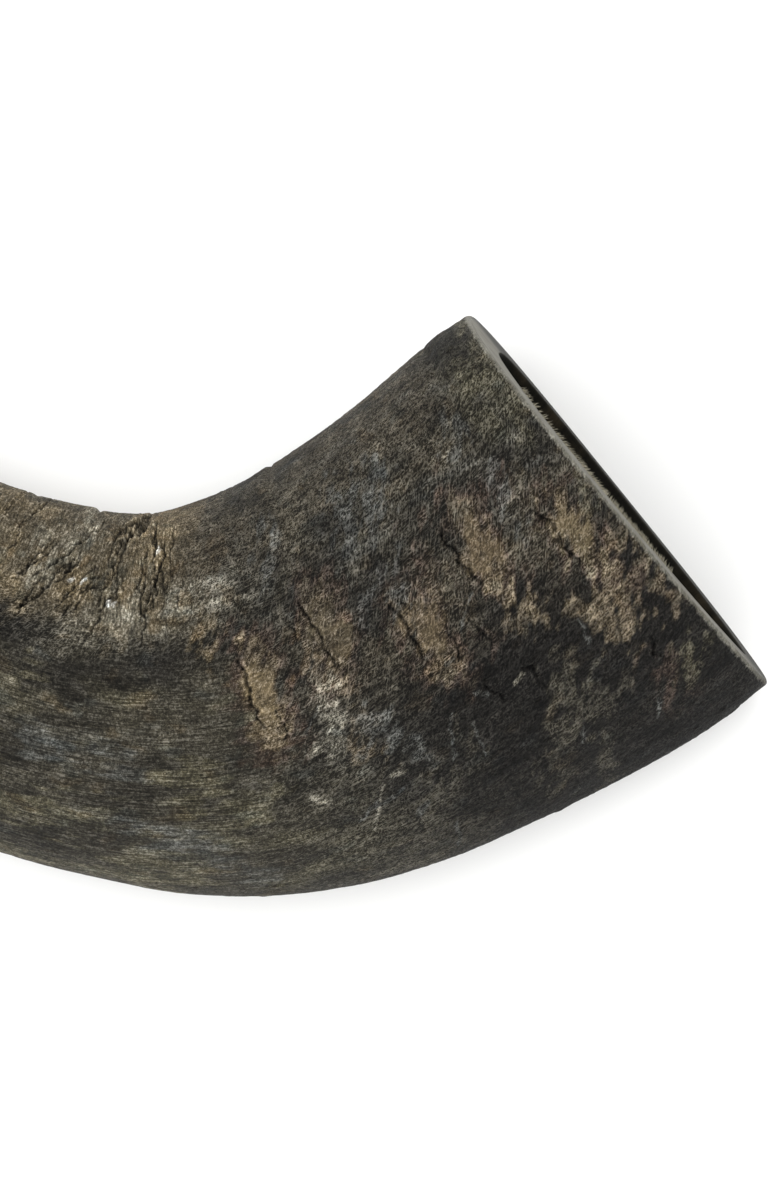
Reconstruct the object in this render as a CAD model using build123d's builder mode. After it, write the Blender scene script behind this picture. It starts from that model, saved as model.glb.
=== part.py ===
"""A natural shofar: one animal horn, sawn off at the bell, drilled and cupped at the tip.

A horn is a stack of keratin cones, one grown inside the last each year, so the horn wall is built here
from its yearly cones, bonded face to face, under the raw weathered crust. It lies on its side: +Z up, the
bell's sawn face looks along +X, and the mouthpiece points along +Y. Millimetres throughout.
"""

import os
from math import cos, radians, sin

from build123d import *

# ---- Driving dimensions -------------------------------------------------------------------------------

CRUST_THICKNESS = 1.0  # raw outer layer left on the bell half
CRUST_FULL_TO = 216.0  # distance from the bell where the scraping begins
CRUST_GONE_AT = 238.0  # and where the crust has been scraped away
CRUST_WORN_BELOW = 2.2  # the side the horn lies on is rubbed through to this height

BORE_RADIUS = 3.5  # drilled blowing bore
BORE_START = 260.0  # distance from the bell at which the drill breaks into the natural hollow
CUP_RADIUS = 8.5  # mouthpiece cup at the lips
CUP_DEPTH = 12.0
CUP_WAIST = (0.78, 0.4)  # where the cup's bowl turns, as shares of its radius and its depth
CUP_SLOPES = [(0.35, 1), (0.6, 1)]  # how steeply the bowl leaves the bore and reaches the lips
MOUTH_CLEARANCE = 6.0  # how far cutting shapes run past the bell's sawn face and the lips
FLAKE_CUT_FROM = 24.0  # flakes are cut from this height up, clear of the lower side

# Centreline in plan, from the centre of the bell's face, round the bend and straight down the drilled tip.
CENTRELINE = [
    (0, 0),
    (-30, 2),
    (-60, 9.7),
    (-84, 27),
    (-104.5, 60),
    (-120, 100),
    (-130, 142),
    (-134, 184),
    (-134.6, 226),
    (-134.6, 266),
    (-134.6, 300),
]
BELL_CENTRE = Vector(74.7, -130.6)  # puts the middle of the whole horn over the origin

# Horn without its crust: distance along the centreline, width in the plane of the curve, depth, gap under
# it, and the form of the section there (0 the bell's rounded triangle, 1 the saddle's egg, 2 round).
HORN_STATIONS = [
    (0, 74.4, 44.4, 0.0, 0.0),
    (12, 74.7, 44.6, 0.2, 0.1),
    (30, 71.0, 44.2, 0.6, 0.3),
    (50, 67.6, 43.6, 0.8, 0.55),
    (70, 63.0, 42.6, 0.5, 0.85),
    (90, 57.4, 41.2, 0.2, 1.0),
    (110, 55.2, 39.6, 0.0, 1.05),
    (140, 51.0, 36.6, 0.3, 1.15),
    (175, 45.0, 33.0, 0.6, 1.35),
    (215, 37.2, 28.8, 0.8, 1.6),
    (255, 30.0, 25.0, 0.9, 1.8),
    (295, 24.4, 21.8, 0.8, 2.0),
    (335, 21.4, 20.0, 0.6, 2.0),
    (362, 22.2, 21.2, 0.25, 2.0),
    (374, 24.6, 23.6, 0.0, 2.0),
]

# Natural hollow left by the bone core: distance, width, depth, and its shift towards the inside of the
# curve and upwards from the horn's own centre. Past the core's tip only the drill has room.
HOLLOW_STATIONS = [
    (0, 62.0, 33.0, -1.0, -1.5),
    (30, 57.0, 32.5, -1.0, -1.2),
    (60, 51.0, 31.0, -0.8, -0.8),
    (90, 42.0, 28.0, -0.5, -0.4),
    (120, 36.5, 25.0, -0.3, 0.0),
    (150, 29.5, 21.5, 0.0, 0.0),
    (180, 22.5, 18.0, 0.0, 0.0),
    (210, 16.0, 14.0, 0.0, 0.0),
    (240, 11.5, 11.0, 0.0, 0.0),
    (262, 9.0, 9.0, 0.0, 0.0),
    (400, 9.0, 9.0, 0.0, 0.0),
]
HOLLOW_LENGTH = 262.0
SECTION_STEP = 16.0  # spacing of the sections each loft is drawn through

# Growth rings: how far from the bell each older cone ends outside. Under it the next cone runs on.
GROWTH_RINGS = {"tip": 246.0, "second_year": 174.0, "third_year": 114.0, "fourth_year": 62.0}
# The face between two cones: distance past the ring, and its place in the wall (1 skin, 0 hollow).
RING_FACE = [(-10, 1.4), (0, 1.0), (12, 0.74), (28, 0.5), (48, 0.22), (76, -0.45)]

# Rows of places on the upper side where the crust has flaked off: the first one's distance from the bell,
# spacing, count, how far the row lies inside the centreline, and each flake's length across the horn and
# width along it.
FLAKE_ROWS = [
    (7.0, 14.0, 5, 4.0, 12.0, 8.0),
    (130.0, 28.0, 3, 0.0, 12.0, 6.0),
]
FLAKE_STAGGER = 3.0  # a row's flakes lie in turn this much to either side of it
FLAKE_TURN = 25.0  # and are turned this many degrees, in turn, either way
# Outline of a flake as shares of its half length and half width.
FLAKE_OUTLINE = [
    (-1.0, 0.1),
    (-0.55, -0.8),
    (0.2, -1.0),
    (0.75, -0.5),
    (1.0, 0.25),
    (0.35, 0.7),
    (-0.4, 1.0),
]

# Section forms as shares of half the width (towards the inside of the curve) and half the depth (up).
BELL_FORM = [
    (-1.0, -0.38),
    (-0.83, -0.75),
    (-0.37, -0.98),
    (0.21, -0.98),
    (0.71, -0.84),
    (0.95, -0.54),
    (1.0, -0.04),
    (0.95, 0.52),
    (0.77, 0.88),
    (0.39, 1.0),
    (-0.08, 0.85),
    (-0.53, 0.47),
    (-0.86, 0.02),
]
SADDLE_FORM = [
    (-1.0, -0.05),
    (-0.84, -0.55),
    (-0.42, -0.92),
    (0.14, -1.0),
    (0.62, -0.8),
    (0.93, -0.36),
    (1.0, 0.1),
    (0.88, 0.52),
    (0.57, 0.86),
    (0.13, 1.0),
    (-0.35, 0.92),
    (-0.73, 0.64),
    (-0.94, 0.28),
]
FORM_POINTS = len(BELL_FORM)
INNER_SEAM = 6  # cores and crust start their outlines on the inside of the curve, the skin on the outside
ROUND_FORM = [
    (cos(radians(180 + 360 * i / FORM_POINTS)), sin(radians(180 + 360 * i / FORM_POINTS)))
    for i in range(FORM_POINTS)
]

# ---- Reading the tables -------------------------------------------------------------------------------


def read_table(table, distance):
    """The table's row at a distance, blended between its two nearest rows by a smooth cubic."""
    last = len(table) - 1
    before = max(i for i in range(last) if table[i][0] <= distance or i == 0)
    row_a, row_b = table[before], table[before + 1]
    span = row_b[0] - row_a[0]
    share = min(1.0, max(0.0, (distance - row_a[0]) / span))

    def slope(i, column):
        """Rise per millimetre at row i, from the rows beside it."""
        low, high = max(0, i - 1), min(last, i + 1)
        return (table[high][column] - table[low][column]) / (table[high][0] - table[low][0])

    def cubic(column):
        rise_a, rise_b = slope(before, column) * span, slope(before + 1, column) * span
        start, end = row_a[column], row_b[column]
        return (
            (2 * share**3 - 3 * share**2 + 1) * start
            + (share**3 - 2 * share**2 + share) * rise_a
            + (3 * share**2 - 2 * share**3) * end
            + (share**3 - share**2) * rise_b
        )

    return [cubic(column) for column in range(1, len(table[0]))]


def form_at(form):
    """The section form at a blend value, from bell through saddle to round."""
    first, second, share = (
        (BELL_FORM, SADDLE_FORM, form) if form <= 1 else (SADDLE_FORM, ROUND_FORM, form - 1)
    )
    return [
        (u0 + (u1 - u0) * share, w0 + (w1 - w0) * share)
        for (u0, w0), (u1, w1) in zip(first, second)
    ]


# ---- Placing sections on the centreline ---------------------------------------------------------------

with BuildLine() as centreline:
    Spline(*[BELL_CENTRE + place for place in CENTRELINE], tangents=[(-1, 0), (0, 1)])
PATH = centreline.edge()
HORN_LENGTH = PATH.length


def station_plane(distance):
    """A plane across the horn: x towards the inside of the curve, y up, looking at the bell."""
    inside = min(max(distance, 0), HORN_LENGTH)
    point = PATH.position_at(inside, position_mode=PositionMode.LENGTH)
    along = PATH.tangent_at(inside, position_mode=PositionMode.LENGTH)
    point += along * (distance - inside)
    return Plane(origin=point, x_dir=(along.Y, -along.X, 0), z_dir=-along)


def wall_outline(distance, share, crust=0.0):
    """Outline in the wall at a distance: share 0 is the hollow's wall, 1 the horn's skin."""
    width, depth, gap, form = read_table(HORN_STATIONS, distance)
    middle = gap + depth / 2
    hollow_width, hollow_depth, inward, up = read_table(HOLLOW_STATIONS, distance)
    half_width = (hollow_width + (width - hollow_width) * share) / 2 + crust
    half_depth = (hollow_depth + (depth - hollow_depth) * share) / 2 + crust
    u_shift, w_shift = inward * (1 - share), middle + up * (1 - share)
    return [(u * half_width + u_shift, w * half_depth + w_shift) for u, w in form_at(form)]


def wall_middle(distance):
    """Height of the section's middle above the floor."""
    _, depth, gap, _ = read_table(HORN_STATIONS, distance)
    return gap + depth / 2


def wall_section(distance, share, crust=0.0, seam=0):
    """A sketch of that outline on its plane, its spline starting at the point numbered seam."""
    outline = wall_outline(distance, share, crust)
    with BuildSketch(station_plane(distance)) as section:
        with BuildLine():
            Spline(*outline[seam:], *outline[:seam], periodic=True)
        make_face()
    return section.sketch


def steps(start, end, spacing):
    """Evenly spaced distances from start to end, both included, about the given spacing apart."""
    count = max(1, round((end - start) / spacing))
    return [start + (end - start) * i / count for i in range(count + 1)]


# ---- Shapes that cut the horn into its pieces -----------------------------------------------------------


def make_skin():
    """The whole horn under its crust, solid."""
    with BuildPart() as skin:
        loft([wall_section(d, 1.0) for d in steps(0, HORN_LENGTH, SECTION_STEP)])
    return skin.part


def make_airway():
    """All the air in the horn: natural hollow, drilled bore and mouthpiece cup."""
    lips = station_plane(HORN_LENGTH)
    lips_height = wall_middle(HORN_LENGTH)
    cup_profile = Plane(origin=(lips.origin.X, lips.origin.Y, lips_height), x_dir=(1, 0, 0), z_dir=(0, 0, 1))
    with BuildPart() as airway:
        loft([wall_section(d, 0.0) for d in steps(-MOUTH_CLEARANCE, HOLLOW_LENGTH, SECTION_STEP)])
        with BuildSketch(cup_profile):
            with BuildLine():
                bowl = Spline(
                    (BORE_RADIUS, -CUP_DEPTH),
                    (CUP_RADIUS * CUP_WAIST[0], -CUP_DEPTH * CUP_WAIST[1]),
                    (CUP_RADIUS, 0),
                    tangents=CUP_SLOPES,
                )
                Polyline(
                    bowl @ 1,
                    (CUP_RADIUS, MOUTH_CLEARANCE),
                    (0, MOUTH_CLEARANCE),
                    (0, BORE_START - HORN_LENGTH),
                    (BORE_RADIUS, BORE_START - HORN_LENGTH),
                    bowl @ 0,
                )
            make_face()
        revolve(axis=Axis((lips.origin.X, 0, lips_height), (0, 1, 0)))
    return airway.part


def make_core(ring):
    """Everything grown after the cone that ends at this ring, down to the hollow and past the bell."""
    end = ring + RING_FACE[-1][0]
    with BuildPart() as core:
        loft(
            [
                wall_section(d, read_table(RING_FACE, d - ring)[0], seam=INNER_SEAM)
                for d in steps(-MOUTH_CLEARANCE, end, SECTION_STEP)
            ]
        )
    return core.part


# ---- The pieces ---------------------------------------------------------------------------------------


def make_cone(name, inside_of, outside_of):
    """One year's cone: the wall inside the older core shape and outside the younger one."""
    with BuildPart() as cone:
        add(SKIN)
        if inside_of:
            add(inside_of, mode=Mode.INTERSECT)
        if outside_of:
            add(outside_of, mode=Mode.SUBTRACT)
        add(AIRWAY, mode=Mode.SUBTRACT)
    cone.part.label = name
    return cone.part


def flake_places():
    """Each flake's distance from the bell, place across the horn, length, width and turn."""
    for first, spacing, count, across, length, width in FLAKE_ROWS:
        for i in range(count):
            side = 1 if i % 2 else -1
            yield first + i * spacing, across + side * FLAKE_STAGGER, length, width, side * FLAKE_TURN


def flake_plane(distance, across, turn):
    """A level plane over a flake, its x across the horn."""
    station = station_plane(distance)
    centre = station.origin + station.x_dir * across
    return Plane(origin=(centre.X, centre.Y, FLAKE_CUT_FROM), x_dir=station.x_dir).rotated((0, 0, turn))


def make_crust():
    """The raw crust: a skin over the bell half, scraped out towards the tip and flaked off in places."""
    with BuildPart() as crust:
        loft(
            [
                wall_section(d, 1.0, CRUST_THICKNESS, seam=INNER_SEAM)
                for d in steps(0, HORN_LENGTH, SECTION_STEP)
                if d < CRUST_FULL_TO
            ]
            + [wall_section(CRUST_GONE_AT, 1.0, -CRUST_THICKNESS, seam=INNER_SEAM)]
        )
        add(SKIN, mode=Mode.SUBTRACT)
        with Locations((0, 0, CRUST_WORN_BELOW)):
            Box(
                2 * HORN_LENGTH,
                2 * HORN_LENGTH,
                HORN_LENGTH,
                align=(Align.CENTER, Align.CENTER, Align.MAX),
                mode=Mode.SUBTRACT,
            )
        for distance, across, length, width, turn in flake_places():
            with BuildSketch(flake_plane(distance, across, turn)):
                with BuildLine():
                    Spline(*[(u * length / 2, v * width / 2) for u, v in FLAKE_OUTLINE], periodic=True)
                make_face()
            extrude(amount=FLAKE_CUT_FROM, mode=Mode.SUBTRACT)
    crust.part.label = "weathered_crust"
    return crust.part


SKIN = make_skin()
AIRWAY = make_airway()
CORES = [make_core(ring) for ring in GROWTH_RINGS.values()]

pieces = [make_crust()]
names = ["first_year_tip", "second_year_cone", "third_year_cone", "fourth_year_cone", "fifth_year_bell"]
for name, inside_of, outside_of in zip(names, [None, *CORES], [*CORES, None]):
    pieces.append(make_cone(name, inside_of, outside_of))

os.makedirs("parts", exist_ok=True)
for piece in pieces:
    export_step(piece, f"parts/{piece.label}.step")
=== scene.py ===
"""The shofar as it looks: one mesh per layer of the horn, and the burr that the saw left at its mouth.

Every layer is a grid of rings along the horn and columns around it, read from the same centreline and
section tables as the solid model. Millimetres inside, metres in Blender.
"""

from itertools import product
from math import cos, pi, radians, sin

import bpy
import numpy as np
from mathutils import Matrix, Vector


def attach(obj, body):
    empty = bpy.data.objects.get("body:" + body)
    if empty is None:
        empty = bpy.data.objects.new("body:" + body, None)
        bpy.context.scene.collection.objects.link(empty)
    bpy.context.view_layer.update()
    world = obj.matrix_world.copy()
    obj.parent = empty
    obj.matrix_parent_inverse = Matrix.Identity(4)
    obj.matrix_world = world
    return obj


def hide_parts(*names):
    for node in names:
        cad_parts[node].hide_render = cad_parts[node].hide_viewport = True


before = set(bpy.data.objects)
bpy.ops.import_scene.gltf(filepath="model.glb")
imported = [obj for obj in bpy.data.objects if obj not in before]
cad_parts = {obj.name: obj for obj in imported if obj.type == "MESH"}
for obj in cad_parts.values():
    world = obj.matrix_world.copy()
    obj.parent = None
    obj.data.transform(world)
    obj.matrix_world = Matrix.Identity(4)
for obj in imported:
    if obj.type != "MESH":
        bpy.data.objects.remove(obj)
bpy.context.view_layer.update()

MM = 0.001

# ---- The horn's form, as in the solid model ----

BELL_CENTRE = np.array([74.7, -130.6])
CENTRELINE = BELL_CENTRE + np.array(
    [(0, 0), (-30, 2), (-60, 9.7), (-84, 27), (-104.5, 60), (-120, 100), (-130, 142), (-134, 184)]
    + [(-134.6, 226), (-134.6, 266), (-134.6, 300)]
)
HORN_STATIONS = np.array([
    (0, 74.4, 44.4, 0.0, 0.0), (12, 74.7, 44.6, 0.2, 0.1), (30, 71.0, 44.2, 0.6, 0.3),
    (50, 67.6, 43.6, 0.8, 0.55), (70, 63.0, 42.6, 0.5, 0.85), (90, 57.4, 41.2, 0.2, 1.0),
    (110, 55.2, 39.6, 0.0, 1.05), (140, 51.0, 36.6, 0.3, 1.15), (175, 45.0, 33.0, 0.6, 1.35),
    (215, 37.2, 28.8, 0.8, 1.6), (255, 30.0, 25.0, 0.9, 1.8), (295, 24.4, 21.8, 0.8, 2.0),
    (335, 21.4, 20.0, 0.6, 2.0), (362, 22.2, 21.2, 0.25, 2.0), (374, 24.6, 23.6, 0.0, 2.0),
])
HOLLOW_STATIONS = np.array([
    (0, 62.0, 33.0, -1.0, -1.5), (30, 57.0, 32.5, -1.0, -1.2), (60, 51.0, 31.0, -0.8, -0.8),
    (90, 42.0, 28.0, -0.5, -0.4), (120, 36.5, 25.0, -0.3, 0.0), (150, 29.5, 21.5, 0.0, 0.0),
    (180, 22.5, 18.0, 0.0, 0.0), (210, 16.0, 14.0, 0.0, 0.0), (240, 11.5, 11.0, 0.0, 0.0),
    (262, 9.0, 9.0, 0.0, 0.0), (400, 9.0, 9.0, 0.0, 0.0),
])
BELL_FORM = np.array(
    [(-1.0, -0.38), (-0.83, -0.75), (-0.37, -0.98), (0.21, -0.98), (0.71, -0.84), (0.95, -0.54)]
    + [(1.0, -0.04), (0.95, 0.52), (0.77, 0.88), (0.39, 1.0), (-0.08, 0.85), (-0.53, 0.47), (-0.86, 0.02)]
)
SADDLE_FORM = np.array(
    [(-1.0, -0.05), (-0.84, -0.55), (-0.42, -0.92), (0.14, -1.0), (0.62, -0.8), (0.93, -0.36)]
    + [(1.0, 0.1), (0.88, 0.52), (0.57, 0.86), (0.13, 1.0), (-0.35, 0.92), (-0.73, 0.64), (-0.94, 0.28)]
)
TURN = pi + 2 * pi * np.arange(len(BELL_FORM)) / len(BELL_FORM)
ROUND_FORM = np.stack([np.cos(TURN), np.sin(TURN)], 1)

NATURAL_HOLLOW = 262.0
BORE_RADIUS = 3.5
CUP_RADIUS = 8.5
CUP_DEPTH = 12.0
CRUST = 1.0  # thickness of the raw outer layer
RINGS = (62.0, 114.0, 174.0, 246.0)  # where each younger cone comes out from under the older one
FACE_REACH = 62.0  # how far past its ring the seam between two cones meets the hollow


# ---- Small tools ----


def smooth(low, high, x):
    """0 below low, 1 above high, smooth between."""
    t = np.clip((x - low) / (high - low), 0.0, 1.0)
    return t * t * (3 - 2 * t)


def blend(a, b, t):
    return a + (b - a) * t


def hump(x, width):
    """1 where x is 0, falling away on either side."""
    return np.exp(-((x / width) ** 2))


def hash_parts(ix, iy, iz, seed):
    """Three even numbers in -1..1 for every lattice point."""
    h = ix.astype(np.uint32) * np.uint32(0x9E3779B1)
    h ^= iy.astype(np.uint32) * np.uint32(0x85EBCA77)
    h ^= iz.astype(np.uint32) * np.uint32(0xC2B2AE3D)
    h ^= np.uint32((seed * 0x27D4EB2F + 0x165667B1) & 0xFFFFFFFF)
    for shift, factor in ((15, 0x2C1B3C6D), (12, 0x297A2D39), (15, 0x1B873593)):
        h ^= h >> np.uint32(shift)
        h *= np.uint32(factor)
    h ^= h >> np.uint32(14)
    return [((h >> np.uint32(k)) & np.uint32(1023)).astype(np.float32) / 511.5 - 1 for k in (0, 10, 20)]


def noise(x, y, z, seed=0):
    """Gradient noise, about -1..1, with features one unit across."""
    x, y, z = np.broadcast_arrays(x, y, z)
    cell = [np.floor(a).astype(np.int64) for a in (x, y, z)]
    part = [(a - c).astype(np.float32) for a, c in zip((x, y, z), cell)]
    fade = [p * p * p * (p * (p * 6 - 15) + 10) for p in part]
    total = np.zeros(x.shape, np.float32)
    for dx, dy, dz in product((0, 1), repeat=3):
        gx, gy, gz = hash_parts(cell[0] + dx, cell[1] + dy, cell[2] + dz, seed)
        dot = gx * (part[0] - dx) + gy * (part[1] - dy) + gz * (part[2] - dz)
        wx, wy, wz = (f if d else 1 - f for f, d in zip(fade, (dx, dy, dz)))
        total += dot * wx * wy * wz
    return total * 1.3


def fbm(x, y, z, octaves, seed=0):
    """Noise summed over octaves, each finer and weaker than the last."""
    total, size, weight = 0.0, 1.0, 1.0
    for octave in range(octaves):
        total = total + weight * noise(x * size, y * size, z * size, seed + octave)
        size, weight = size * 2.03, weight * 0.5
    return total


def clouds_over(s, u, w):
    """Noise over these places, by the size of its features along the horn and across it."""

    def cloud(along, across, octaves, seed):
        return fbm(s / along, u / across, w / across, octaves, seed)

    return cloud


def cubic(t, a, slope_a, b, slope_b):
    """The cubic from a to b as t goes from 0 to 1, with a slope given at each end."""
    return (
        (2 * t**3 - 3 * t**2 + 1) * a
        + (t**3 - 2 * t**2 + t) * slope_a
        + (3 * t**2 - 2 * t**3) * b
        + (t**3 - t**2) * slope_b
    )


def linear(r, g, b):
    """A display colour, 0 to 255, as linear light."""
    c = np.array([r, g, b]) / 255.0
    return np.where(c <= 0.04045, c / 12.92, ((c + 0.055) / 1.055) ** 2.4)


# ---- Reading the form ----


def read_table(table, distance):
    """The table's columns at each distance, as a smooth cubic through its rows."""
    rows, span = table[:, 0], np.diff(table[:, 0])
    low = np.r_[0, np.arange(len(rows) - 1)]
    high = np.r_[np.arange(1, len(rows)), len(rows) - 1]
    slope = (table[high] - table[low]) / (rows[high] - rows[low])[:, None]
    k = np.clip(np.searchsorted(rows, distance, side="right") - 1, 0, len(rows) - 2)
    t = np.clip((distance - rows[k]) / span[k], 0, 1)[:, None]
    h = span[k][:, None]
    return cubic(t, table[k], slope[k] * h, table[k + 1], slope[k + 1] * h)[:, 1:]


def spline_slopes(points, knots, closed, first=None, last=None):
    """Slopes of the cubic spline through the points, closed or with given end directions."""
    n = len(points)
    h = np.diff(knots)
    a, b = np.zeros((n, n)), np.zeros((n, 2))
    for i in range(n):
        if not closed and i in (0, n - 1):
            a[i, i], b[i] = 1, first if i == 0 else last
            continue
        before, after = h[i - 1], h[i]
        previous, following = points[i - 1], points[(i + 1) % n]
        a[i, i - 1] += after
        a[i, i] += 2 * (before + after)
        a[i, (i + 1) % n] += before
        b[i] = 3 * (after * (points[i] - previous) / before + before * (following - points[i]) / after)
    return np.linalg.solve(a, b)


def spline_points(points, knots, slopes, at):
    """Points on that spline at the given knot values."""
    k = np.clip(np.searchsorted(knots, at, side="right") - 1, 0, len(knots) - 2)
    after = (k + 1) % len(points)
    h = (knots[k + 1] - knots[k])[:, None]
    t = ((at - knots[k])[:, None]) / h
    return cubic(t, points[k], h * slopes[k], points[after], h * slopes[after])


def open_knots(points):
    return np.r_[0, np.cumsum(np.linalg.norm(np.diff(points, axis=0), axis=1))]


PATH_STEPS = 6000
OUTLINE_STEPS = 1400
HALF_STEP = 0.6  # directions are taken over this much of the path, either way
_knots = open_knots(CENTRELINE)
_slopes = spline_slopes(CENTRELINE, _knots, False, np.array([-1.0, 0]), np.array([0, 1.0]))
PATH = spline_points(CENTRELINE, _knots, _slopes, np.linspace(0, _knots[-1], PATH_STEPS + 1))
PATH_AT = open_knots(PATH)
HORN_LENGTH = float(PATH_AT[-1])


def path_at(distance):
    """Centreline points, and the directions along it and towards the inside of the curve."""
    point = np.stack([np.interp(distance, PATH_AT, PATH[:, i]) for i in (0, 1)], 1)
    ends = [
        np.stack([np.interp(np.clip(distance + d, 0, PATH_AT[-1]), PATH_AT, PATH[:, i]) for i in (0, 1)], 1)
        for d in (-HALF_STEP, HALF_STEP)
    ]
    along = ends[1] - ends[0]
    along /= np.linalg.norm(along, axis=1)[:, None]
    return point, along, np.stack([along[:, 1], -along[:, 0]], 1)


def outline_radii(points, columns):
    """Distance from the section's middle to its outline, at each column's angle."""
    loop = np.vstack([points, points[:1]])
    knots = open_knots(loop)
    slopes = spline_slopes(points, knots, True)
    dense = spline_points(points, knots, slopes, np.linspace(0, knots[-1], OUTLINE_STEPS)[:-1])
    angle = np.arctan2(dense[:, 1], dense[:, 0])
    return np.interp(columns, angle, np.hypot(dense[:, 0], dense[:, 1]), period=2 * pi)


def radii(distances, columns, hollow):
    """Radii of the skin or of the hollow for every ring and column."""
    width, depth, _, form = read_table(HORN_STATIONS, distances).T
    inner = read_table(HOLLOW_STATIONS, distances)
    table = np.zeros((len(distances), len(columns)))
    for i in range(len(distances)):
        if form[i] <= 1:
            shape = blend(BELL_FORM, SADDLE_FORM, form[i])
        else:
            shape = blend(SADDLE_FORM, ROUND_FORM, form[i] - 1)
        if hollow:
            points = shape * inner[i, :2] / 2 + inner[i, 2:]
        else:
            points = shape * np.array([width[i], depth[i]]) / 2
        table[i] = outline_radii(points, columns)
    return table


class Rings:
    """A grid of rings along the horn and columns around it, with everything that shapes read from it."""

    def __init__(self, distances, columns, hollow=False, radius=None):
        self.s = distances[:, None] + 0 * columns[None, :]
        self.angle = columns[None, :] + 0 * distances[:, None]
        self.radius = radii(distances, columns, hollow) if radius is None else radius
        self.centre, self.along, self.inward = path_at(distances)
        _, depth, gap, _ = read_table(HORN_STATIONS, distances).T
        self.middle = gap + depth / 2
        self.u = self.radius * np.cos(self.angle)
        self.w = self.radius * np.sin(self.angle)
        self.cloud = clouds_over(self.s, self.u, self.w)
        self.places = np.stack([self.s, self.u, self.w], -1)

    def points(self, radius=None):
        radius = self.radius if radius is None else radius
        out = radius * np.cos(self.angle)
        plan = self.centre[:, None, :] + out[..., None] * self.inward[:, None, :]
        height = self.middle[:, None] + radius * np.sin(self.angle)
        return np.concatenate([plan, height[..., None]], 2)


def outward(points):
    """Unit normals of a grid of points, out of the horn."""
    along = np.gradient(points, axis=0)
    around = np.roll(points, -1, 1) - np.roll(points, 1, 1)
    n = np.cross(along, around)
    n /= np.linalg.norm(n, axis=2)[..., None] + 1e-9
    return n


def link(name, data):
    """An object with this data, in the scene."""
    thing = bpy.data.objects.new(name, data)
    bpy.context.scene.collection.objects.link(thing)
    return thing


def write_attribute(mesh, name, value):
    """Store a colour, of four numbers, or a vector at every point."""
    kind, field = ("FLOAT_COLOR", "color") if value.shape[-1] == 4 else ("FLOAT_VECTOR", "vector")
    layer = mesh.attributes.new(name, kind, "POINT")
    layer.data.foreach_set(field, value.astype(np.float32).ravel())


def build(name, points, attributes, material_rows, materials):
    """A closed piece from a grid that joins up both ways. Attributes are laid out like the points."""
    rows, cols = points.shape[:2]
    index = np.arange(rows * cols).reshape(rows, cols)
    a, b = index, np.roll(index, -1, 0)
    quads = np.stack([a, b, np.roll(b, -1, 1), np.roll(a, -1, 1)], 2).reshape(-1, 4)
    mesh = bpy.data.meshes.new(name)
    mesh.from_pydata((points.reshape(-1, 3) * MM).tolist(), [], quads.tolist())
    mesh.update()
    for attribute, value in attributes.items():
        write_attribute(mesh, attribute, value)
    for material in materials:
        mesh.materials.append(material)
    slots = np.repeat(np.asarray(material_rows, np.int32), cols)
    mesh.polygons.foreach_set("material_index", slots)
    mesh.polygons.foreach_set("use_smooth", np.ones(rows * cols, bool))
    mesh.update()
    return link(name, mesh)


# ---- What marks the horn ----
# Places are given as distance behind the bell and distance across from the centreline, positive towards
# the inside of the curve, both in millimetres. They lie on the upper side.

# The colours of horn, as they look in soft light: raw and weathered, then sawn, scraped or hollow. The dark
# colour for the sawn face's lower half and the hollow's near-black are painted shade.
PALETTE = {
    "crust": (64, 61, 53), "soot": (34, 32, 29), "film": (98, 99, 94), "dun": (88, 83, 69),
    "brown": (108, 98, 78), "olive": (116, 110, 86), "tan": (130, 114, 88), "ochre": (140, 124, 94),
    "rust": (86, 69, 57), "bone": (158, 152, 133), "chalk": (240, 236, 224),
    "sawn": (136, 133, 121), "sawn brown": (108, 102, 88), "sawn pale": (156, 153, 141),
    "rim shade": (40, 38, 33), "rubbed": (96, 88, 72), "under crust": (100, 88, 68),
    "scraped": (106, 92, 67), "dark streak": (52, 45, 36), "honey": (150, 131, 96), "handled": (42, 37, 31),
    "hollow": (26, 25, 20), "core stain": (64, 56, 42),
}


def paint(name):
    return linear(*PALETTE[name])


def laid(tint, name, cover):
    """A colour with another laid over it, where and as much as it covers."""
    return blend(tint, paint(name), np.clip(cover, 0, 1)[..., None])


# Rings round the horn: distance, depth of the crease inside the curve, and outside it.
CREASES = (
    (50, 0.5, 0.0), (62, 0.15, 0.08), (86, 0.25, 0.0), (100, 0.6, 0.04), (114, 0.35, 0.1),
    (128, 0.4, 0.2), (142, 0.6, 0.3), (156, 0.5, 0.25), (174, 0.8, 0.4), (190, 0.5, 0.3), (206, 0.6, 0.4),
)

# Rows of flaked places, by the solid model's rule: first distance, spacing, count, place across, length
# across the horn, width along it.
FLAKE_ROWS = ((7.0, 14.0, 5, 4.0, 12.0, 8.0), (130.0, 28.0, 3, 0.0, 12.0, 6.0))
FLAKE_STAGGER = 3.0
FLAKE_COLOURS = ("ochre", "tan", "tan", "brown", "ochre")

LENGTHWISE, ACROSS, SLANT = 0, -90, -55  # headings, in degrees, from the way towards the tip
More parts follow.
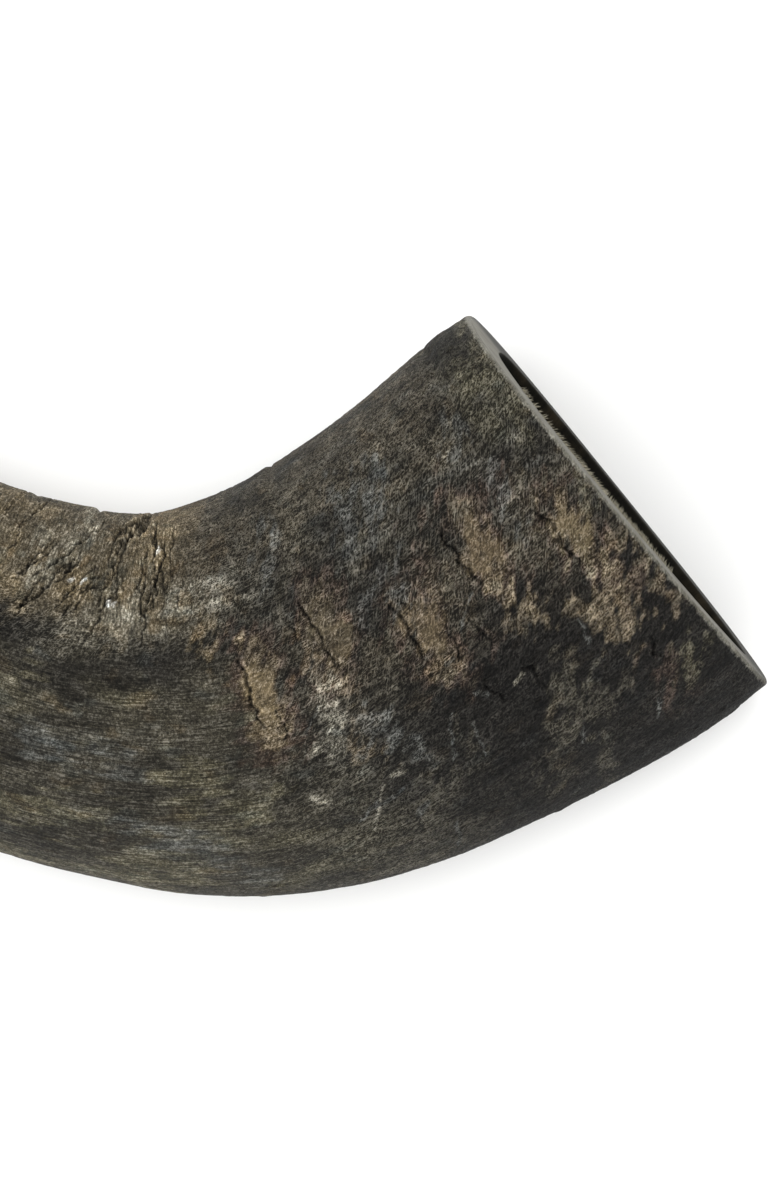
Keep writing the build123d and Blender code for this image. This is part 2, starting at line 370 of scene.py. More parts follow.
# Scattered stains: count, distances, places across, lengths, half widths, heading, colours, strength.
STAINS = (
    (16, (2, 58), (-10, 15), (3, 10), (0.8, 2.2), ACROSS, ("tan", "brown", "rust", "ochre"), 0.8),
    (12, (1, 13), (-34, 34), (2, 7), (0.7, 1.7), SLANT, ("rust", "tan", "dun", "olive"), 0.75),
    (16, (8, 58), (8, 30), (4, 12), (0.7, 1.8), SLANT, ("film", "film", "dun", "soot"), 0.7),
    (18, (4, 50), (-34, -4), (5, 15), (1.0, 3.0), SLANT, ("soot", "soot", "dun"), 0.65),
    (16, (52, 120), (-28, 2), (5, 14), (1.0, 2.6), LENGTHWISE, ("olive", "dun", "film", "soot"), 0.65),
    (18, (70, 122), (12, 27), (3, 9), (0.7, 2.0), ACROSS, ("ochre", "brown", "bone", "dun"), 0.7),
    (26, (122, 232), (-20, 20), (5, 18), (0.8, 2.6), LENGTHWISE, ("tan", "soot", "brown", "dun"), 0.75),
    (14, (6, 60), (-30, 14), (2, 8), (0.14, 0.22), SLANT, ("bone", "film"), 0.75),
    (5, (80, 102), (15, 27), (0.1, 0.5), (0.3, 0.52), SLANT, ("chalk",), 1.0),
    (5, (42, 60), (-11, -2), (3, 8), (0.8, 1.7), ACROSS, ("film", "bone", "tan"), 0.75),
    (7, (14, 70), (-26, -4), (1, 3), (0.3, 0.55), LENGTHWISE, ("film", "bone"), 0.7),
)
# Scattered cracks: count, distances, places across at which they start, lengths, half widths, heading.
SPLITS = (
    (18, (74, 92), (19, 29), (4, 12), (0.17, 0.26), ACROSS),
    (22, (90, 116), (16, 28), (3, 9), (0.16, 0.24), SLANT),
    (7, (82, 90), (26, 29), (2, 5), (0.28, 0.42), SLANT),
    (8, (8, 66), (-20, 20), (3, 8), (0.18, 0.26), ACROSS),
    (10, (120, 225), (-14, 18), (4, 14), (0.2, 0.3), LENGTHWISE),
)
STEP_OF_CRACK = 1.3
FLAKE_DEPTH = 0.5
FLAKE_SMOOTHING = 0.6  # how much of the fine texture is gone from a flaked place
SCAB_HEIGHT, PIT_DEPTH, CHIP_HEIGHT = 0.16, 0.22, 0.25
RIDGE_HEIGHT = 0.9
STAIN_SEED, CRACK_SEED = 11, 5


def flake_places():
    """Each flake's place along and across the horn, half length across it and half width along it."""
    for first, spacing, count, across, length, width in FLAKE_ROWS:
        for i in range(count):
            side = 1 if i % 2 else -1
            yield first + i * spacing, across + side * FLAKE_STAGGER, length / 2, width / 2


def make_stains():
    """Stains, scratches and chips: from, to, half width, softness, colour, strength."""
    random = np.random.default_rng(STAIN_SEED)
    stains = []
    for i, (s, u, half_length, half_width) in enumerate(flake_places()):
        name = FLAKE_COLOURS[i % len(FLAKE_COLOURS)]
        ends = (s, u + half_length), (s, u - half_length)
        stains.append((*ends, 1.15 * half_width, 3.0, "rust", 0.75))
        stains.append((*ends, 0.6 * half_width, 2.2, name, 0.7))
    for count, along, across, lengths, halves, heading, names, strength in STAINS:
        for _ in range(count):
            s, u, length, half = (random.uniform(*span) for span in (along, across, lengths, halves))
            turn = radians(heading + random.normal(0, 18))
            end = (s + length * cos(turn), u + length * sin(turn))
            soft = 0.22 if half < FINE_MARK else 1.2 + half
            stains.append(((s, u), end, half, soft, str(random.choice(names)), strength))
    return stains


def wandering(random, place, heading, length):
    """Points of a crack that wanders about its heading."""
    points = [place]
    for _ in range(max(1, round(length / STEP_OF_CRACK))):
        s, u = points[-1]
        turn = radians(heading + random.normal(0, 21))
        points.append((s + STEP_OF_CRACK * cos(turn), u + STEP_OF_CRACK * sin(turn)))
    return points


def make_cracks():
    """Cracks: points along each, half width, depth. Each flake has split along the side by the tip."""
    random = np.random.default_rng(CRACK_SEED)
    cracks = []
    for s, u, half_length, half_width in flake_places():
        line = wandering(random, (s + 0.8 * half_width, u + half_length), ACROSS, 2 * half_length)
        cracks.append((line, 0.28, 0.85))
    for count, along, across, lengths, halves, heading in SPLITS:
        for _ in range(count):
            s, u, length, half = (random.uniform(*span) for span in (along, across, lengths, halves))
            cracks.append((wandering(random, (s, u), heading, length), half, 2.8 * half))
    return cracks


FINE_MARK = 0.6  # marks narrower than this, either way from their middle, keep crisp edges


def ridge_place(s):
    """How far inside the centreline the raised edge between saddle and belly runs."""
    return blend(17.5, 9.5, smooth(60, 112, s))


def ground_colour(s, u, w, ragged):
    """The crust's colour before its stains: its zones, each broken up by clouds of its own."""
    cloud = clouds_over(s, u, w)
    edge = 3.5 * ragged
    tint = np.tile(paint("crust"), (len(s), 1))
    ground = cloud(17, 9, 3, 51)
    tint = laid(tint, "dun", 0.8 * smooth(-0.1, 0.6, ground))
    tint = laid(tint, "soot", 0.6 * smooth(0.1, 0.7, -ground))
    # the belly, browner, with olive clouds
    belly = smooth(46, 70, s + edge) * (1 - smooth(0, 9, u + edge))
    tint = laid(tint, "dun", 0.3 * belly)
    tint = laid(tint, "olive", 0.55 * belly * smooth(0.05, 0.5, cloud(16, 8, 3, 57)))
    # the saddle, brown with ochre streaks across it
    saddle = smooth(60, 80, s + edge) * smooth(9, 15, u + edge) * (1 - smooth(118, 150, s))
    tint = laid(tint, "brown", 0.85 * saddle)
    tint = laid(tint, "ochre", 0.75 * saddle * smooth(-0.05, 0.45, cloud(9, 14, 3, 58)))
    # the bell's outer half, turned from the key light, is darkened as painted shade; its inner half has a
    # grey film
    outer_side_shade = smooth(6, -9, u + edge) * (1 - smooth(34, 54, s + edge))
    tint = laid(tint, "soot", 0.92 * outer_side_shade)
    film = smooth(7, 14, u + edge) * (1 - smooth(50, 62, s + edge))
    tint = laid(tint, "film", 0.35 * film * smooth(0.1, 0.6, cloud(10, 4, 3, 59)))
    tint = laid(tint, "soot", 0.6 * film * smooth(0.1, 0.6, -cloud(12, 6, 3, 60)))
    # the edge inside the curve stays browner than the film
    inside = smooth(15, 24, u + edge) * smooth(7, 16, s) * (1 - smooth(58, 74, s + edge))
    tint = laid(tint, "brown", 0.45 * inside * smooth(-0.6, 0.2, cloud(9, 5, 3, 64)))
    # brown where the crust has lifted between the bell and the bend
    browned = hump(u - 3, 8) * (1 - smooth(52, 68, s + edge)) * smooth(-0.4, 0.3, ground)
    tint = laid(tint, "brown", 0.4 * browned)
    # the corner inside the curve is paler behind the saw cut
    corner = smooth(13, 22, u + edge) * (1 - smooth(6, 13, s + edge))
    tint = laid(tint, "olive", 0.62 * corner * smooth(-0.7, 0.2, cloud(4, 5, 3, 62)))
    # that corner's far side is dark with older crust
    scab = smooth(31, 33, u + 0.5 * edge) * smooth(2, 4, s) * (1 - smooth(9, 12, s + edge))
    tint = laid(tint, "soot", 0.85 * scab)
    # the ridge, tinted pale as a painted highlight, and painted shade along its outer foot
    off_ridge = u - ridge_place(s)
    along = smooth(56, 66, s) * (1 - smooth(108, 128, s))
    wear_and_highlight = hump(off_ridge + 0.5 * edge, 3.2) * smooth(-0.55, 0.1, cloud(13, 2.6, 4, 61))
    tint = laid(tint, "bone", 0.9 * (along * wear_and_highlight) * (1 - smooth(84, 104, s)))
    # painted shade: the band below the ridge is tinted dark
    ridge_foot_shade = hump(off_ridge + 7.5 + 0.5 * edge, 3.4) * (1 - smooth(96, 108, s))
    tint = laid(tint, "soot", 0.7 * along * ridge_foot_shade)
    # past the bend the crust thins, and the horn shows through in streaks
    thin = smooth(110, 150, s) * smooth(0.0, 0.5, cloud(30, 6, 3, 52))
    return laid(tint, "tan", 0.6 * thin)


def reach(s, u, a, b):
    """Distance of every point from the straight mark between two places."""
    (s0, u0), (s1, u1) = a, b
    length = (s1 - s0) ** 2 + (u1 - u0) ** 2
    t = np.clip(((s - s0) * (s1 - s0) + (u - u0) * (u1 - u0)) / length, 0, 1)
    return np.hypot(s - s0 - t * (s1 - s0), u - u0 - t * (u1 - u0))


def near(s, u, a, b, margin):
    """Where a mark can matter, as a flat index, to spare the rest of the grid."""
    return np.flatnonzero(
        (s > min(a[0], b[0]) - margin)
        & (s < max(a[0], b[0]) + margin)
        & (u > min(a[1], b[1]) - margin)
        & (u < max(a[1], b[1]) + margin)
    )


def crust_kinds(s, u, w, wide):
    """How wrinkled across, grooved lengthwise and fibrous it is, 0 to 1, and a noise with that grain."""
    wide_s, wide_u = wide
    saddle = smooth(66, 84, wide_s) * smooth(7, 15, wide_u + 0.1 * (84 - s)) * (1 - smooth(190, 215, s))
    belly = smooth(50, 78, wide_s) * (1 - smooth(3, 12, wide_u))
    fibrous = np.clip(1 - saddle - belly, 0, 1)
    along_fibre, across_fibre = slanted(s, u)
    ragged = (
        fibrous * fbm(along_fibre * 0.22, across_fibre * 0.6, w * 0.4, 4, 25)
        + belly * fbm(s * 0.14, u * 0.55, w * 0.55, 4, 26)
        + saddle * fbm(s * 0.6, u * 0.2, w * 0.2, 4, 27)
    )
    return (saddle, belly, fibrous), ragged


def slanted(s, u):
    """Distances along and across the slanting fibres by the bell."""
    return 0.78 * u - 0.63 * s, 0.78 * s + 0.63 * u


def crust_relief(s, u, w, kinds, upper):
    """Height of the crust before its marks, and its splits, scabs and pits, each 0 to 1."""
    saddle, belly, fibrous = kinds
    cloud = clouds_over(s, u, w)
    height = 0.42 * cloud(26, 22, 1, 21) + 0.2 * cloud(9, 8, 1, 22)
    for place, inside, outside in CREASES:
        wander = 1.3 * noise(0 * s + place, u / 13, w / 13, 23) + 0.35 * noise(s * 0, u / 3, w / 3, 24)
        depth = blend(outside, inside, smooth(-4, 26, u))
        past = s - place - wander
        height += depth * (0.5 * smooth(-0.7, 0.7, past) * np.exp(-np.maximum(past, 0) / 10))
        height -= depth * 0.75 * hump(past, 0.8)

    # the raised edge between the saddle and the belly
    ridge = hump(u - ridge_place(s), 4)
    height += RIDGE_HEIGHT * smooth(52, 70, s) * (1 - smooth(120, 150, s)) * upper * ridge

    # the grain of each kind of surface
    gate = smooth(-0.05, 0.4, cloud(7, 4, 1, 31))
    across = noise(s * 0.62 + 0.6 * cloud(4, 4, 1, 33), u * 0.09, w * 0.09, 32)
    split = hump(across, 0.055) * gate * saddle
    height -= 0.13 * split
    height += saddle * 0.035 * noise(s * 1.1, u * 0.16, w * 0.16, 34)
    height += saddle * 0.03 * noise(s * 1.7, u * 0.5, w * 0.5, 35)
    height += belly * 0.055 * fbm(s * 0.06, u, w, 2, 36)
    along_fibre, across_fibre = slanted(s, u)
    height += fibrous * 0.075 * fbm(along_fibre * 0.4, across_fibre * 1.3, w, 2, 37)
    height += 0.05 * noise(s * 1.1, u * 1.1, w * 1.1, 38)

    scab = smooth(0.42, 0.62, cloud(2.6, 2.2, 2, 41)) * smooth(-0.1, 0.4, cloud(16, 14, 1, 42))
    pit = smooth(0.5, 0.75, cloud(1.5, 1.0, 1, 43)) * smooth(0.0, 0.4, cloud(12, 12, 1, 44))
    height += SCAB_HEIGHT * scab
    height -= PIT_DEPTH * pit
    return height, split, scab, pit


def lay_stains(height, tint, wide, fine, ragged, broken, upper):
    """Lay the stains, scratches and chips on the crust. Chips stand a little proud."""
    for a, b, half, soft, name, strength in make_stains():
        crisp = half < FINE_MARK
        mark_s, mark_u = fine if crisp else wide
        at = near(mark_s, mark_u, a, b, half + 2.5 * soft + 1)
        inside = (half - reach(mark_s[at], mark_u[at], a, b)) / soft
        cover = smooth(-0.5, 0.5, inside + (0 if crisp else 1.9) * ragged[at])
        if not crisp:
            cover = cover * (0.52 + 0.48 * smooth(-0.45, 0.15, broken[at]))
        cover = cover * strength * upper[at]
        tint[at] = laid(tint[at], name, cover)
        if name == "chalk":
            height[at] += CHIP_HEIGHT * cover


def flecked(tint, cloud):
    """A colour with flecks and small stains of every kind: lighter, darker, warmer and cooler."""
    speck = cloud(4.2, 2.6, 4, 54)
    for factor, flecks in ((1.65, speck), (0.55, -speck)):
        tint = blend(tint, tint * factor, smooth(0.22, 0.6, flecks)[:, None] * 0.8)
    for shift, seed in (((1.09, 1.0, 0.88), 55), ((0.93, 1.0, 1.08), 56)):
        cover = smooth(0.3, 0.6, cloud(5, 3.5, 3, seed))[:, None]
        tint = tint * blend(np.ones(3), np.array(shift), cover)
    return tint


def cut_flakes(height, tint, s, u, wide, ragged, broken, upper):
    """Cut the flaked places into the crust. Returns how far they take away its fine texture."""
    smoothed = np.zeros_like(s)
    for i, (place_s, place_u, half_length, half_width) in enumerate(flake_places()):
        at = near(s, u, (place_s, place_u), (place_s, place_u), 2.2 * half_length)
        off_s = 0.45 * s[at] + 0.55 * wide[0][at] - place_s
        off_u = 0.45 * u[at] + 0.55 * wide[1][at] - place_u
        far = np.hypot(off_s / half_width, off_u / half_length) - 0.45 * ragged[at]
        bare = (1 - smooth(0.85, 1.08, far)) * upper[at]
        lip = hump(far - 1.12, 0.07) * upper[at]
        core = (1 - smooth(0.5, 1.0, far)) * upper[at] * (0.68 + 0.32 * smooth(-0.4, 0.2, broken[at]))
        name = FLAKE_COLOURS[i % len(FLAKE_COLOURS)]
        tint[at] = blend(tint[at], 0.96 * paint(name), 0.75 * core[:, None])
        smoothed[at] = np.maximum(smoothed[at], FLAKE_SMOOTHING * core)
        height[at] += FLAKE_DEPTH * (0.1 * lip - 0.55 * bare - 0.15 * bare * ragged[at])
        tint[at] *= (1 + 0.25 * lip)[:, None]
    return smoothed


def cut_cracks(height, tint, fine, ragged, upper):
    """Cut the cracks into the crust, darkened inside as painted shade and with a painted highlight on the
    lip on either side.
    """
    fine_s, fine_u = fine
    for line, half, depth in make_cracks():
        for a, b in zip(line[:-1], line[1:]):
            at = near(fine_s, fine_u, a, b, 3)
            far = reach(fine_s[at], fine_u[at], a, b)
            wide = half * (0.9 + 0.4 * ragged[at])
            cut = hump(far, np.maximum(wide, 0.12)) * upper[at]
            height[at] -= 0.6 * depth * cut
            # painted shade inside the crack
            tint[at] *= (1 - 0.92 * cut)[:, None]
            lip = hump(far - 2.4 * half, 0.8 * half) * upper[at]
            height[at] += 0.05 * depth * lip
            # painted highlight on the raised lip
            tint[at] *= (1 + 0.24 * lip)[:, None]


def crust_surface(s, u, w):
    """Height, colour and kind of surface of the crust, for flat arrays of places on it."""
    cloud = clouds_over(s, u, w)
    # places shifted by noise, for marks with wide soft edges and for fine crisp ones
    wide = (
        s + 2.4 * cloud(8, 8, 1, 11) + 1.5 * cloud(2.9, 2.9, 1, 12),
        u + 2.4 * cloud(8, 8, 1, 13) + 1.5 * cloud(2.9, 2.9, 1, 14),
    )
    fine = (
        s + 0.5 * cloud(1.5, 1.5, 1, 15) + 0.22 * cloud(0.5, 0.5, 1, 17),
        u + 0.5 * cloud(1.5, 1.5, 1, 16) + 0.22 * cloud(0.5, 0.5, 1, 18),
    )
    upper = smooth(-9, -1, w)
    kinds, ragged = crust_kinds(s, u, w, wide)
    height, split, scab, pit = crust_relief(s, u, w, kinds, upper)

    tint = ground_colour(s, u, w, ragged)
    broken = cloud(2.6, 1.7, 3, 53)
    lay_stains(height, tint, wide, fine, ragged, broken, upper)
    tint = flecked(tint, cloud)
    streaks = fbm(s * 0.1, u * 0.9, w * 0.9, 3, 63)
    tint *= (1 + 0.6 * kinds[2] * streaks)[:, None]
    smoothed = cut_flakes(height, tint, s, u, wide, ragged, broken, upper)
    cut_cracks(height, tint, fine, ragged, upper)
    # painted shade darkens the splits and pits, and a painted highlight lightens the raised scabs
    for change, mark in ((-0.5, split), (-0.35, pit), (0.25, scab)):
        tint *= (1 + change * mark)[:, None]
    return height, tint, np.stack(kinds, 1) * (1 - smoothed)[:, None]


def rim_tint(s, u, w):
    """Sawn horn: pale and grey, crossed by the saw's faint straight marks, with painted shade darkening its
    lower half.
    """
    cloud = fbm(s / 3 + 5, u / 4, w / 4, 3, 71)
    tint = np.tile(paint("sawn"), (len(s), 1))
    tint = laid(tint, "sawn brown", 0.7 * smooth(0.0, 0.6, cloud))
    tint = laid(tint, "sawn pale", 0.5 * smooth(0.1, 0.6, -cloud))
    saw_marks = noise(0 * s, (0.94 * u + 0.34 * w) * 1.5, (0.94 * w - 0.34 * u) * 0.07, 72)
    # painted shade: the lower half of the sawn face, the far side of the mouth, is tinted almost black
    tint = laid(tint, "rim shade", 0.9 * smooth(1.0, -9.0, w + 4 * cloud))
    return tint * (1 + 0.16 * saw_marks)[:, None]


def scraped_tint(s, u, w):
    """Horn scraped clean and half polished: honey and brown streaks along the grain, dark scraps left."""
    streak = fbm(s * 0.014, u * 0.2, w * 0.2, 5, 81)
    fine = fbm(s * 0.05, u * 1.1, w * 1.1, 3, 82)
    tint = np.tile(paint("scraped"), (len(s), 1))
    tint = laid(tint, "dark streak", 0.85 * smooth(-0.02, 0.38, streak))
    tint = laid(tint, "honey", 0.75 * smooth(0.08, 0.5, -streak))
    tint = tint * (1 + 0.3 * fine)[:, None]
    scraps = smooth(0.16, 0.42, clouds_over(s, u, w)(12, 2.4, 4, 83)) * (1 - smooth(226, 292, s))
    tint = laid(tint, "crust", 0.85 * scraps)
    return laid(tint, "handled", 0.4 * smooth(318, 374, s))


def hollow_tint(s, u, w):
    """The natural hollow: tinted near-black as painted shade, with brown stains where the bone core sat."""
    stained = smooth(0.0, 0.6, clouds_over(s, u, w)(9, 5, 3, 91))
    tint = np.tile(paint("hollow"), (len(s), 1))
    return laid(tint, "core stain", 0.55 * stained)


# ---- Materials ----


class Nodes:
    """Short names for making a material's nodes and joining them."""

    def __init__(self, name):
        self.material = bpy.data.materials.new(name)
        self.material.use_nodes = True
        self.tree = self.material.node_tree
        self.shader = self.tree.nodes["Principled BSDF"]

    def add(self, kind, values=(), **settings):
        node = self.tree.nodes.new(kind)
        for key, value in settings.items():
            setattr(node, key, value)
        return self.put(node, dict(values))

    def put(self, node, values):
        """Give a node's sockets their values, or join them to other nodes."""
        for socket, value in values.items():
            if isinstance(value, bpy.types.NodeSocket):
                self.tree.links.new(value, node.inputs[socket])
            else:
                node.inputs[socket].default_value = value
        return node

    def attribute(self, name, output="Vector"):
        return self.add("ShaderNodeAttribute", attribute_name=name).outputs[output]

    def grain(self, place, scale, detail=3.0, rough=0.55, stretch=(1, 1, 1), turn=0.0):
        """A noise's value, stretched along the horn as asked. Scale is per millimetre."""
        mapping = self.add(
            "ShaderNodeMapping",
            {"Vector": place, "Scale": [1 / k for k in stretch], "Rotation": (0, 0, turn)},
            vector_type="TEXTURE",
        )
        texture = self.add(
            "ShaderNodeTexNoise",
            {"Vector": mapping.outputs[0], "Scale": scale, "Detail": detail, "Roughness": rough},
        )
        return texture.outputs["Fac"]

    def hairs(self, value):
        """Thin lines where a noise passes through its middle."""
        off = self.math("ABSOLUTE", self.math("SUBTRACT", value, 0.5))
        return self.math("SUBTRACT", 1.0, self.math("MULTIPLY", off, 13.5), clamp=True)

    def math(self, operation, a, b=0.0, clamp=False):
        return self.add("ShaderNodeMath", {0: a, 1: b}, operation=operation, use_clamp=clamp).outputs[0]

    def off(self, value, middle, factor):
        """How far a value lies above a middle one, times a factor."""
        return self.math("MULTIPLY", self.math("SUBTRACT", value, middle), factor)

    def ramp(self, value, low, high, to_low=0.0, to_high=1.0):
        node = self.add(
            "ShaderNodeMapRange",
            {"Value": value, "From Min": low, "From Max": high, "To Min": to_low, "To Max": to_high},
            interpolation_type="SMOOTHSTEP",
        )
        return node.outputs["Result"]

    def scaled(self, colour, factor):
        """A colour times a number."""
        return self.add("ShaderNodeVectorMath", {0: colour, "Scale": factor}, operation="SCALE").outputs[0]

    def mixed(self, factor, a, b):
        return self.add("ShaderNodeMix", {0: factor, 6: a, 7: b}, data_type="RGBA").outputs[2]

    def finish(self, colour, rough, specular, strength, distance, height):
        """Join up the shader, with a bump for the finest relief."""
        bump = self.add("ShaderNodeBump", {"Strength": strength, "Distance": distance, "Height": height})
        values = {"Base Color": colour, "Roughness": rough, "Specular IOR Level": specular}
        self.put(self.shader, {**values, "Normal": bump.outputs[0]})
        return self.material


FIBRE_TURN = radians(128)  # the fibres by the bell lie slantwise across the horn


def crust_material():
    """Raw keratin: pale fibres and grooves over a dark ground, dull with a faint waxy sheen."""
    n = Nodes("raw_horn_crust")
    place = n.attribute("strand")
    tint = n.attribute("tint", "Color")
    kinds = n.add("ShaderNodeSeparateXYZ", {0: n.attribute("kinds")})
    saddle, belly, fibrous = kinds.outputs

    fibres = n.hairs(n.grain(place, 1.0, 2.0, 0.55, (0.32, 2.2, 2.2), FIBRE_TURN))
    fibres_back = n.hairs(n.grain(place, 1.0, 2.0, 0.55, (0.4, 2.5, 2.5), FIBRE_TURN + 0.7))
    grooves = n.grain(place, 1.0, 4.0, 0.66, (0.22, 4.4, 4.4))
    wrinkles = n.grain(place, 1.0, 4.0, 0.66, (2.7, 0.7, 0.7))
    grit = n.grain(place, 5.0, 3.0, 0.7)
    leather = n.grain(place, 2.1, 3.0, 0.62)
    cloud = n.grain(place, 0.4, 5.0, 0.62, (0.7, 1, 1))
    raw = n.math("ADD", n.math("ADD", saddle, belly), fibrous, clamp=True)

    weave = n.off(n.math("MAXIMUM", fibres, fibres_back), 0.5, n.math("MULTIPLY", fibrous, 4.2))
    lines = n.off(grooves, 0.5, n.math("MULTIPLY", belly, 7.5))
    folds = n.off(wrinkles, 0.5, n.math("MULTIPLY", saddle, 7.2))
    relief = n.math("ADD", n.math("ADD", weave, lines), folds)
    crevices = n.math("MULTIPLY", n.hairs(n.grain(place, 1.1, 4.0, 0.7)), 1.3)
    dust = n.math("ADD", n.math("SUBTRACT", n.off(leather, 0.39, 5.2), crevices), n.off(grit, 0.5, 5.0))
    dappled = n.math("ADD", dust, n.off(cloud, 0.5, 3.2))
    plain = n.math("MULTIPLY", dappled, n.ramp(raw, 0.0, 1.0, 0.25, 1.0))
    # brightness in stops, each a doubling or halving of the tint; the palest fibres turn grey
    stops = n.math("ADD", relief, plain)
    light = n.math("POWER", 2.0, n.math("MINIMUM", n.math("MAXIMUM", stops, -2.2), 1.9))
    colour = n.scaled(tint, light)
    grey = n.add("ShaderNodeHueSaturation", {"Saturation": 0.6, "Color": colour}).outputs[0]
    colour = n.mixed(n.ramp(stops, 0.2, 1.5, 0.0, 0.7), colour, grey)

    height = n.math("ADD", n.math("MULTIPLY", relief, 0.35), n.math("MULTIPLY", plain, 0.22))
    uneven = n.math("ADD", n.math("MULTIPLY", cloud, 0.6), n.math("MULTIPLY", grit, 0.4))
    rough = n.math("ADD", n.ramp(uneven, 0.3, 0.7, 0.32, 0.58), n.math("MULTIPLY", raw, 0.22))
    return n.finish(colour, rough, 0.11, 1.0, 0.00026, height)


def bare_material(name, fine, contrast, rough_low, rough_high, depth, specular):
    """Bare horn: its own colour with fine grain along the horn, for sawn, hollow and scraped faces."""
    n = Nodes(name)
    place = n.attribute("strand")
    tint = n.attribute("tint", "Color")
    grain = n.grain(place, 1.0, 5.0, 0.6, fine)
    grit = n.grain(place, 4.0, 4.0, 0.6)
    mixed = n.math("ADD", n.math("MULTIPLY", grain, 0.65), n.math("MULTIPLY", grit, 0.35))
    colour = n.scaled(tint, n.ramp(mixed, 0.34, 0.66, 1 - contrast, 1 + contrast))
    rough = n.ramp(mixed, 0.3, 0.7, rough_low, rough_high)
    return n.finish(colour, rough, specular, 0.8, depth, mixed)


CRUST_MATERIAL = crust_material()
SAWN_MATERIAL = bare_material("sawn_horn", (1.2, 1.2, 1.2), 0.16, 0.62, 0.82, 0.0001, 0.3)
HOLLOW_MATERIAL = bare_material("horn_hollow", (0.15, 1.2, 1.2), 0.35, 0.75, 0.95, 0.0003, 0.05)
SCRAPED_MATERIAL = bare_material("scraped_horn", (0.06, 2.6, 2.6), 0.4, 0.34, 0.6, 0.00016, 0.3)
BARE_MATERIALS = [SCRAPED_MATERIAL, SAWN_MATERIAL, HOLLOW_MATERIAL]
SCRAPED_SLOT, SAWN_SLOT, HOLLOW_SLOT = range(3)
GAIN = 0.53  # brings the tints, given as they look in soft light, back to the horn's own colour


def colours(tint):
    return np.concatenate([tint * GAIN, np.ones((*tint.shape[:-1], 1))], -1)


# ---- The crust ----

CRUST_END = 240.0
SCRAPING = (202, 238)  # where the crust thins away, give or take its ragged edge
FINE_TO = 121.0  # the mesh's rings are close together as far as this, past the bend
FINE_STEP, COARSE_STEP, UNDER_STEP = 0.34, 0.85, 5.0
EDGE_ROWS = (0, 0.06, 0.16, 0.3, 0.46, 0.66)  # rings that round the saw's edge
EDGE_ROUND = 0.62
WORN_BELOW = 2.2  # height under which the crust is rubbed flat and bare
FLOOR_GAP, UNDER_GAP = 0.12, 0.3  # how far the crust's outer and inner face stay off the floor
UPPER_COLUMNS, LOWER_COLUMNS = 350, 90
UPPER_FROM, UPPER_TO = radians(-12), radians(192)
columns = np.r_[
    np.linspace(UPPER_FROM, UPPER_TO, UPPER_COLUMNS, endpoint=False),
    np.linspace(UPPER_TO, UPPER_FROM + 2 * pi, LOWER_COLUMNS, endpoint=False),
]


def over(function, grid):
    """What a function of flat arrays of places gives for a grid's, laid out as grids again."""
    shape = grid.s.shape
    results = function(grid.s.ravel(), grid.u.ravel(), grid.w.ravel())
    if not isinstance(results, tuple):
        return results.reshape(*shape, -1)
    return [r.reshape(*shape, *r.shape[1:]) for r in results]


def crust_face(skin, height):
    """The crust's outer face, and how much of the crust the scraping has left, 0 to 1."""
    left = 1 - smooth(*SCRAPING, skin.s + 9 * skin.cloud(24, 4, 4, 101))
    thick = blend(-0.5, CRUST, left)
    shape = height * smooth(0, 3, skin.s) * blend(0.3, 1.0, left)
    # the saw's edge is broken: round, a little ragged, with a slight collar behind it
    corner = np.clip(1 - skin.s / EDGE_ROUND, 0, 1)
    drop = EDGE_ROUND * (1 - np.sqrt(np.maximum(0, 1 - corner**2)))
    swell = smooth(22, 34, skin.u) * smooth(-6, 6, skin.w)
    wander = 2.2 * noise(0 * skin.s, skin.u / 3, skin.w / 3, 104)
    collar = 0.45 * hump(skin.s + wander - 6, 3.5) * swell
    notch = 0.5 * hump(skin.s + wander - 10.5, 1.1) * swell
    lift = thick + shape + collar - notch - drop
    points = skin.points() + outward(skin.points()) * lift[..., None]
    points[0, :, 0] = BELL_CENTRE[0]
    return points, left


def crust_finish(skin, points, left, tint, kinds):
    """Its colour and kinds of surface, where it is sawn, scraped away or rubbed on the floor too."""
    sawn = 1 - smooth(0.35, 0.8, skin.s + 0.35 * noise(skin.s * 0, skin.u / 0.9, skin.w / 0.9, 102))
    raw = smooth(0.36, 0.66, left + 0.3 * skin.cloud(5, 1.6, 3, 105))
    tint = blend(tint, over(rim_tint, skin), sawn[..., None])
    tint = blend(over(scraped_tint, skin), tint, raw[..., None])
    wear_and_highlight = smooth(WORN_BELOW + 0.4, WORN_BELOW - 0.5, points[..., 2] + 0.5 * skin.cloud(5, 4, 3, 103))
    return laid(tint, "rubbed", 0.7 * wear_and_highlight), kinds * ((1 - 0.8 * sawn) * raw)[..., None]


def make_crust():
    fine_s = np.arange(0.92, FINE_TO, FINE_STEP)
    outer_s = np.r_[EDGE_ROWS, fine_s, np.arange(FINE_TO, CRUST_END, COARSE_STEP)]
    skin = Rings(outer_s, columns)
    height, tint, kinds = over(crust_surface, skin)
    points, left = crust_face(skin, height)
    tint, kinds = crust_finish(skin, points, left, tint, kinds)
    points[..., 2] = np.maximum(points[..., 2], FLOOR_GAP)

    inner_s = np.r_[np.arange(CRUST_END, 4, -UNDER_STEP), 3.0, 0.0]
    inside = Rings(inner_s, columns)
    under = 0.7 * smooth(0, 3, inside.s)
    # these rings run back towards the bell, so what outward gives here points into the horn
    inner_points = inside.points() + outward(inside.points()) * under[..., None]
    inner_points[-1, :, 0] = BELL_CENTRE[0]
    inner_points[..., 2] = np.maximum(inner_points[..., 2], UNDER_GAP)
    piece = build(
        "weathered_crust_outer",
        np.concatenate([points, inner_points]),
        {
            "tint": colours(np.concatenate([tint, over(rim_tint, inside)])),
            "kinds": np.concatenate([kinds, np.zeros((*inside.s.shape, 3))]),
            "strand": np.concatenate([skin.places, inside.places]),
        },
        np.zeros(len(outer_s) + len(inner_s)),
        [CRUST_MATERIAL],
    )
    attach(piece, "root")
    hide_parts("weathered_crust")


# ---- The yearly cones ----

